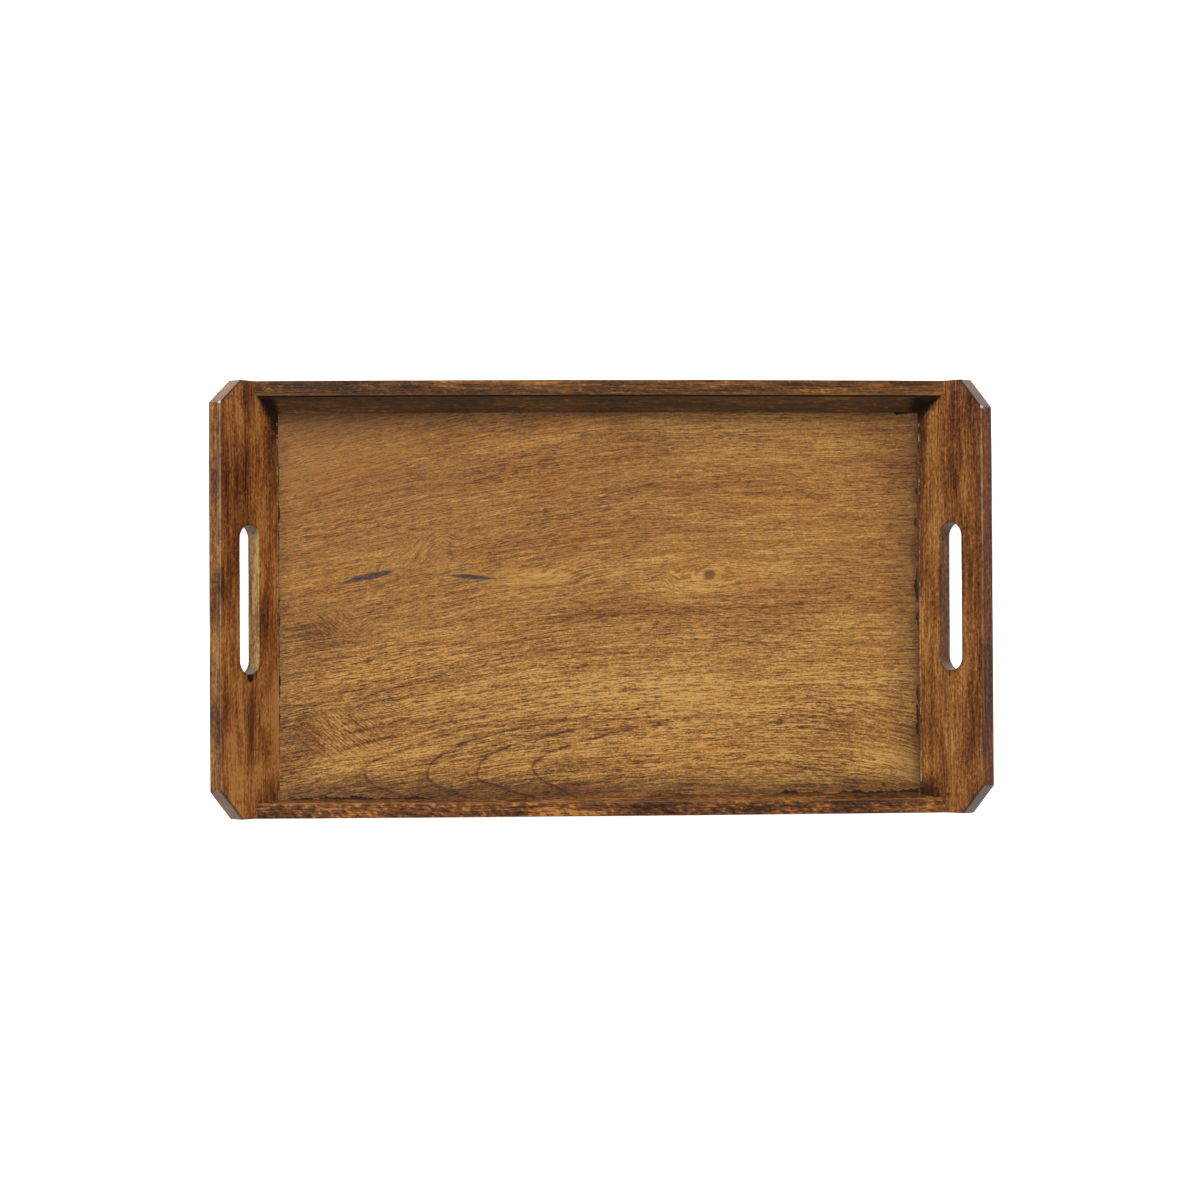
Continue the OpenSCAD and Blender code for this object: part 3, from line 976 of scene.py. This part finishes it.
def rail(side, name, node, foot_y, top_z, bulge, material):
    """A rail: its section carried along the tray, its ends cut to the end boards."""
    outer = HALF_W
    arris = Vector((outer - RAIL_TOP_W, top_z))
    down = (Vector((foot_y, PANEL_TOP)) - arris).normalized()
    into = Vector((-down.y, down.x))
    lean = QUIRK_D / 2
    quirk = [(0, 0), (lean, QUIRK_D), (QUIRK_W - lean, QUIRK_D), (QUIRK_W, 0)]
    section = [(outer, 0), (outer, top_z), tuple(arris)]
    section += [tuple(arris + down * (QUIRK_AT + a) + into * b) for a, b in quirk]
    section += [(foot_y, PANEL_TOP), (foot_y, 0)]
    bm = bmesh.new()
    ends = []
    for end in (-1, 1):
        ends.append([bm.verts.new((end * inner_x(z), side * y, z)) for y, z in section])
    bm.faces.new(ends[0])
    bm.faces.new(reversed(ends[1]))
    for i in range(len(section)):
        j = (i + 1) % len(section)
        bm.faces.new((ends[0][i], ends[1][i], ends[1][j], ends[0][j]))
    bmesh.ops.recalc_face_normals(bm, faces=bm.faces)
    long_edges = [
        e for e in bm.edges
        if abs(e.verts[0].co.x - e.verts[1].co.x) > HALF_L and e.verts[0].co.z > top_z - 0.01 * MM
    ]
    round_edges(bm, long_edges)
    cut_grid(bm, Vector((1, 0, 0)), spread(-inner_x(top_z), inner_x(top_z), 4.0 * MM))
    cut_grid(bm, Vector((0, 0, 1)), spread(0, top_z, 4.0 * MM))
    hand_work(bm, seed=8.0 + side)
    for vert in bm.verts:
        vert.co.y += side * bulge * (1 - (vert.co.x / HALF_L) ** 2)
    return board(bm, name, material, "rail_wood", node)


def panel(name, material):
    """The panel, its two ends cut to the slope of the end boards."""
    grow = PANEL_HI.x - HALF_L
    bm = bmesh.new()
    for z in (PANEL_LO.z, PANEL_TOP):
        reach = inner_x(z) + grow
        for x in (-reach, reach):
            for y in (PANEL_LO.y, PANEL_HI.y):
                bm.verts.new((x, y, z))
    bmesh.ops.convex_hull(bm, input=bm.verts)
    bmesh.ops.dissolve_limit(bm, angle_limit=0.01, verts=bm.verts, edges=bm.edges)
    cut_grid(bm, Vector((1, 0, 0)), spread(PANEL_LO.x, PANEL_HI.x, 5.0 * MM))
    cut_grid(bm, Vector((0, 1, 0)), spread(PANEL_LO.y, PANEL_HI.y, 4.0 * MM))
    hand_work(bm, seed=14.0, worn=0.0)
    return board(bm, name, material, "panel_wood", "base_panel")


def bead(name, start, end, width, rise, seed, material, slot, gaps):
    """A ragged line of old filler in the corner between the panel and a board.

    It runs from start to end, spreads to the left of that line by about the width,
    and climbs the board on its right by about the rise. The gaps thin it all along.
    """
    start = Vector((start[0] * MM, start[1] * MM, PANEL_TOP))
    end = Vector((end[0] * MM, end[1] * MM, PANEL_TOP))
    ahead = (end - start).normalized()
    side = Vector((-ahead.y, ahead.x, 0))
    count = round((end - start).length / (0.7 * MM))
    bm = bmesh.new()
    rings = []
    for i in range(count + 1):
        share = i / count
        spot = start.lerp(end, share)
        rough = noise.fractal(spot * 130 + Vector((seed, 0, 0)), 0.8, 2.2, 4)
        fade = min(1.0, 8 * share, 8 * (1 - share))
        swell = max(0.03, fade * (0.62 + rough * 0.9 - gaps))
        out = width * MM * swell
        high = rise * MM * min(1.0, swell)
        section = [
            (-0.6 * MM, -0.4 * MM),
            (-0.4 * MM, high),
            (out * 0.30, high * 0.62),
            (out * 0.70, high * 0.40),
            (out, -0.15 * MM),
        ]
        rings.append([bm.verts.new(spot + side * a + Vector((0, 0, b))) for a, b in section])
    size = len(rings[0])
    for first, second in zip(rings, rings[1:]):
        for i in range(size):
            j = (i + 1) % size
            bm.faces.new((first[i], first[j], second[j], second[i]))
    bm.faces.new(rings[0][::-1])
    bm.faces.new(rings[-1])
    bmesh.ops.recalc_face_normals(bm, faces=bm.faces)
    return board(bm, name, material, slot)


def filler_material():
    """Nearly black filler, glossy where it is smooth."""
    g = Graph("filler")
    x, y, z = g.position()
    crumb = g.noise(x * 700.0, y * 700.0, z * 700.0, 3.0, 0.7)
    smear = g.noise(x * 90.0, y * 90.0, z * 90.0, 2.0)
    dark = g.ramp(crumb, [(0.3, (0.006, 0.0030, 0.0018)), (0.7, (0.034, 0.013, 0.0052))])
    brown = g.ramp(crumb, [(0.3, (0.040, 0.0140, 0.0040)), (0.7, (0.120, 0.0480, 0.0110))])
    # It is brown against the boards and black along its outer edge
    front = y - FRONT_HI.y
    side = (HALF_L - g.math("ABSOLUTE", x)) * 1.3
    foot = g.math("MINIMUM", front, side) + swing(smear) * (2 * MM)
    foot = foot + (1.0 - g.step(x, -10 * MM, 10 * MM)) * (1.4 * MM)
    colour = g.mix(g.step(foot, 0.8 * MM, 2.0 * MM), brown, dark)
    return g.finish(colour, 0.55 + crumb * 0.3, crumb, 0.2 * MM, specular=0.15)


# The beads of filler round the panel, in millimetres: each one's name, start, end, width,
# rise, seed and gaps
EDGE_X = HALF_L / MM
REAR_Y = BACK_LO.y / MM
FRONT_Y = FRONT_HI.y / MM
BEADS = [
    ("front_left", (-203, FRONT_Y), (-112, FRONT_Y), 3.4, 0.5, 1.0, 0.05),
    ("front_middle", (26, FRONT_Y), (72, FRONT_Y), 3.2, 0.4, 2.0, 0.20),
    ("front_right", (104, FRONT_Y), (222, FRONT_Y), 3.6, 0.6, 16.0, -0.26),
    ("right_joint", (EDGE_X, FRONT_Y), (EDGE_X, REAR_Y), 2.8, 0.5, 4.0, 0.15),
    ("left_joint", (-EDGE_X, REAR_Y), (-EDGE_X, FRONT_Y), 0.9, 0.3, 5.0, 0.15),
    ("rear_right", (207, REAR_Y), (193, REAR_Y), 1.6, 1.5, 6.0, 0.15),
]


def add_fillers():
    """The beads of filler."""
    filler = filler_material()
    for bead_name, *shape, gaps in BEADS:
        bead("filler_" + bead_name, *shape, filler, "panel_wood", gaps)


def paint_fasteners():
    """Gives the CAD's own plugs and screws their materials."""
    plug_wood = plug_material()
    screw_steel = screw_material()
    for node_name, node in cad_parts.items():
        if node_name.startswith(("plug_", "screw_")):
            steel = node_name.startswith("screw_")
            node.data.materials.clear()
            node.data.materials.append(screw_steel if steel else plug_wood)


# ---- studio

# The camera hangs above the tray and a little to its left
CAMERA_FAR = 2.064
CAMERA_PITCH = math.radians(0.651)
CAMERA_YAW = math.radians(3.636)
CAMERA_ROLL = math.radians(-0.322)
# What the middle of the picture looks at, on the panel's top
CAMERA_AIM = Vector((-0.56 * MM, -1.09 * MM, PANEL_TOP))
CAMERA_VIEW_W = 0.7805


def make_camera():
    """A long lens, nearly straight above the tray."""
    data = bpy.data.cameras.new("camera")
    data.sensor_width = 36
    data.lens = data.sensor_width * CAMERA_FAR / CAMERA_VIEW_W
    data.clip_end = 50
    camera = bpy.data.objects.new("camera", data)
    bpy.context.scene.collection.objects.link(camera)
    ahead = Vector((
        math.sin(CAMERA_YAW) * math.cos(CAMERA_PITCH),
        math.sin(CAMERA_PITCH),
        -math.cos(CAMERA_PITCH) * math.cos(CAMERA_YAW),
    )).normalized()
    right = ahead.cross(Vector((0, 1, 0))).normalized()
    up = right.cross(ahead)
    turned_right = right * math.cos(CAMERA_ROLL) + up * math.sin(CAMERA_ROLL)
    turned_up = up * math.cos(CAMERA_ROLL) - right * math.sin(CAMERA_ROLL)
    camera.matrix_world.col[0].xyz = turned_right
    camera.matrix_world.col[1].xyz = turned_up
    camera.matrix_world.col[2].xyz = -ahead
    camera.matrix_world.translation = CAMERA_AIM - ahead * CAMERA_FAR
    bpy.context.scene.camera = camera


def make_light(name, place, size, power):
    """A soft square light that faces the middle of the tray."""
    data = bpy.data.lights.new(name, "AREA")
    data.size = size
    data.energy = power
    light = bpy.data.objects.new(name, data)
    light.location = place
    light.rotation_euler = (-Vector(place)).to_track_quat("-Z", "Y").to_euler()
    bpy.context.scene.collection.objects.link(light)


def make_world():
    """Pale surroundings, brighter round the horizon than overhead."""
    world = bpy.data.worlds.new("studio")
    world.use_nodes = True
    tree = world.node_tree
    place = tree.nodes.new("ShaderNodeTexCoord")
    split = tree.nodes.new("ShaderNodeSeparateXYZ")
    blend = tree.nodes.new("ShaderNodeMapRange")
    blend.inputs["To Min"].default_value = WORLD_RIM
    blend.inputs["To Max"].default_value = WORLD_ZENITH
    tree.links.new(place.outputs["Generated"], split.inputs[0])
    tree.links.new(split.outputs[2], blend.inputs["Value"])
    tree.links.new(blend.outputs["Result"], tree.nodes["Background"].inputs["Strength"])
    tree.nodes["Background"].inputs["Color"].default_value = (1, 1, 1, 1)
    bpy.context.scene.world = world


def make_studio():
    """Pale floor, even white surroundings and one large soft light at the back left."""
    bm = bmesh.new()
    bmesh.ops.create_grid(bm, x_segments=8, y_segments=8, size=6.0)
    mesh = bpy.data.meshes.new("floor")
    bm.to_mesh(mesh)
    bm.free()
    mesh.materials.append(floor_material())
    floor = bpy.data.objects.new("floor", mesh)
    bpy.context.scene.collection.objects.link(floor)
    make_world()
    make_light("key", KEY_PLACE, KEY_SIZE, KEY_POWER)
    bpy.context.scene.view_settings.view_transform = "Standard"


make_camera()
make_studio()
panel("panel", panel_material())
rail_wood = rail_material()
rail(1, "rear_rail_board", "back_rail", BACK_LO.y, BACK_HI.z, BACK_BULGE, rail_wood)
rail(-1, "front_rail_board", "front_rail", -FRONT_HI.y, FRONT_HI.z, FRONT_BULGE, rail_wood)
end_board(-1, "left_end", end_material(-1))
end_board(1, "right_end", end_material(1))
add_fillers()
paint_fasteners()
